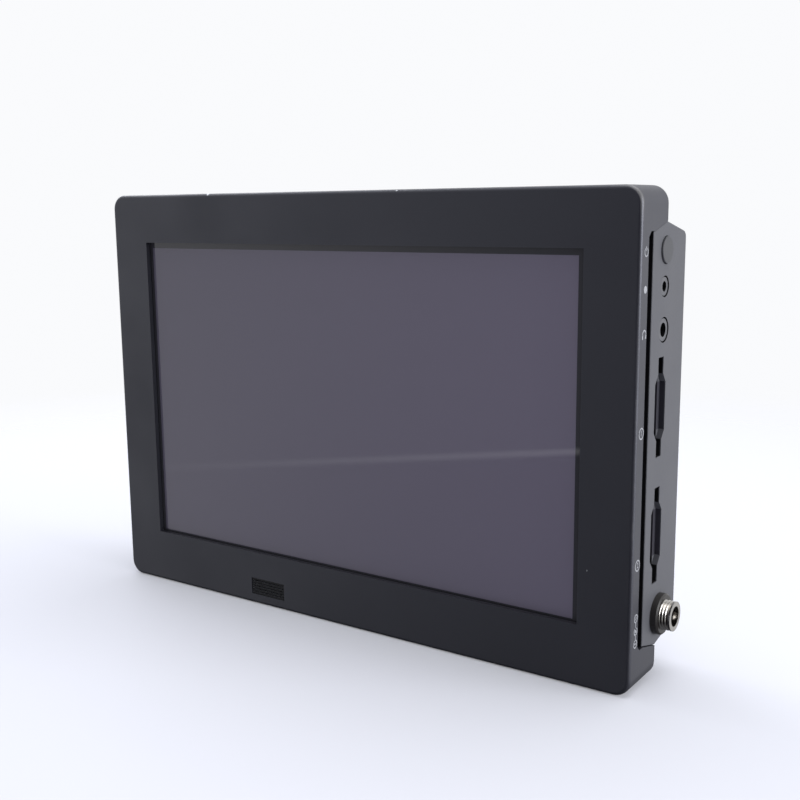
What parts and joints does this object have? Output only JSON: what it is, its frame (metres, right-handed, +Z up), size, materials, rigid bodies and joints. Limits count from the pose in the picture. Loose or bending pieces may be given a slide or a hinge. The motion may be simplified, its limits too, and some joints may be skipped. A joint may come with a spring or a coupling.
{
  "type": "camera field monitor",
  "caption": "Camera-top field monitor with a seven inch screen in a dark metal frame, port plates on both sides, card slots, locking power jack, rear battery bays and tripod threads.",
  "frame": {"origin": "mouth of the middle tripod thread in the bottom face, half way through the front frame's depth", "axes": "+X to the right as seen from the front, +Y from the screen to the back, +Z up"},
  "size_m": [0.1982, 0.0302, 0.1285],
  "materials": {
    "frame_paint": "satin",
    "case_plastic": "matt",
    "button_plastic": "satin",
    "black_plastic": "matt",
    "catch_plastic": "satin",
    "cover_glass": "polished",
    "display": "polished",
    "backlight": "matt",
    "gasket": "matt",
    "sheet_steel": "brushed",
    "screw_steel": "blackened",
    "spring_steel": "bright",
    "standoff_brass": "turned",
    "contact_brass": "gold plated",
    "board": "solder resist",
    "flex": "satin",
    "chip": "satin",
    "pad": "matt",
    "sink_metal": "extruded",
    "nickel": "nickel plated",
    "nut_paint": "black anodised",
    "insulator": "satin"
  },
  "bodies": {
    "case": {"audio_one_socket": "black_plastic", "audio_pins": "contact_brass", "audio_two_socket": "black_plastic", "backlight": "backlight", "battery_plate_screws": "screw_steel", "battery_terminals": "contact_brass", "case_screws": "screw_steel", "coax_contacts": "contact_brass", "coax_in_jack": "nickel", "coax_insulators": "insulator", "coax_nuts": "nickel", "coax_out_jack": "nickel", "cover_glass": "cover_glass", "data_socket": "sheet_steel", "dc_contact": "contact_brass", "dc_jack": "nickel", "dc_nut": "nut_paint", "display_cell": "display", "display_flex": "flex", "fan_frame": "black_plastic", "fan_screws": "screw_steel", "flex_socket": "black_plastic", "front_frame": "frame_paint", "glass_gasket": "gasket", "headphone_jack": "black_plastic", "heat_sink": "sink_metal", "left_battery_plate": "black_plastic", "left_catch_spring": "spring_steel", "left_port_plate": "case_plastic", "lower_card_socket": "sheet_steel", "lower_card_spring": "spring_steel", "main_board": "board", "mid_frame": "sheet_steel", "mid_frame_screws": "screw_steel", "port_plate_screws": "screw_steel", "power_switch": "black_plastic", "processor": "chip", "rear_cover": "case_plastic", "remote_jack": "black_plastic", "right_battery_plate": "black_plastic", "right_catch_spring": "spring_steel", "right_port_plate": "case_plastic", "speaker": "black_plastic", "speaker_grille": "black_plastic", "standoffs": "standoff_brass", "switch_dome": "sheet_steel", "thermal_pad": "pad", "thread_inserts": "sheet_steel", "upper_card_socket": "sheet_steel", "upper_card_spring": "spring_steel", "video_in_socket": "sheet_steel", "video_out_socket": "sheet_steel", "video_tongues": "black_plastic"},
    "power_button": {"power_button": "button_plastic"},
    "fan_rotor": {"fan_rotor": "black_plastic"},
    "left_battery_catch": {"left_battery_catch": "catch_plastic"},
    "right_battery_catch": {"right_battery_catch": "catch_plastic"},
    "upper_card_slide": {"upper_card_slide": "black_plastic"},
    "lower_card_slide": {"lower_card_slide": "black_plastic"}
  },
  "joints": [
    {"name": "power_press", "type": "slide", "parent": "case", "child": "power_button", "axis": [-1, 0, 0], "range_m": [0, 0.0006], "stiffness_N_per_m": 3000, "deforming": ["switch_dome"]},
    {"name": "fan_spin", "type": "hinge", "parent": "case", "child": "fan_rotor", "pos_m": [0, 0.0165, 0.066], "axis": [0, 1, 0], "continuous": true},
    {"name": "left_catch_press", "type": "slide", "parent": "case", "child": "left_battery_catch", "axis": [0, -1, 0], "range_m": [0, 0.0025], "stiffness_N_per_m": 1200, "deforming": ["left_catch_spring"]},
    {"name": "right_catch_press", "type": "slide", "parent": "case", "child": "right_battery_catch", "axis": [0, -1, 0], "range_m": [0, 0.0025], "stiffness_N_per_m": 1200, "deforming": ["right_catch_spring"]},
    {"name": "upper_card_push", "type": "slide", "parent": "case", "child": "upper_card_slide", "axis": [-1, 0, 0], "range_m": [0, 0.002], "stiffness_N_per_m": 750, "deforming": ["upper_card_spring"]},
    {"name": "lower_card_push", "type": "slide", "parent": "case", "child": "lower_card_slide", "axis": [-1, 0, 0], "range_m": [0, 0.002], "stiffness_N_per_m": 750, "deforming": ["lower_card_spring"]}
  ]
}
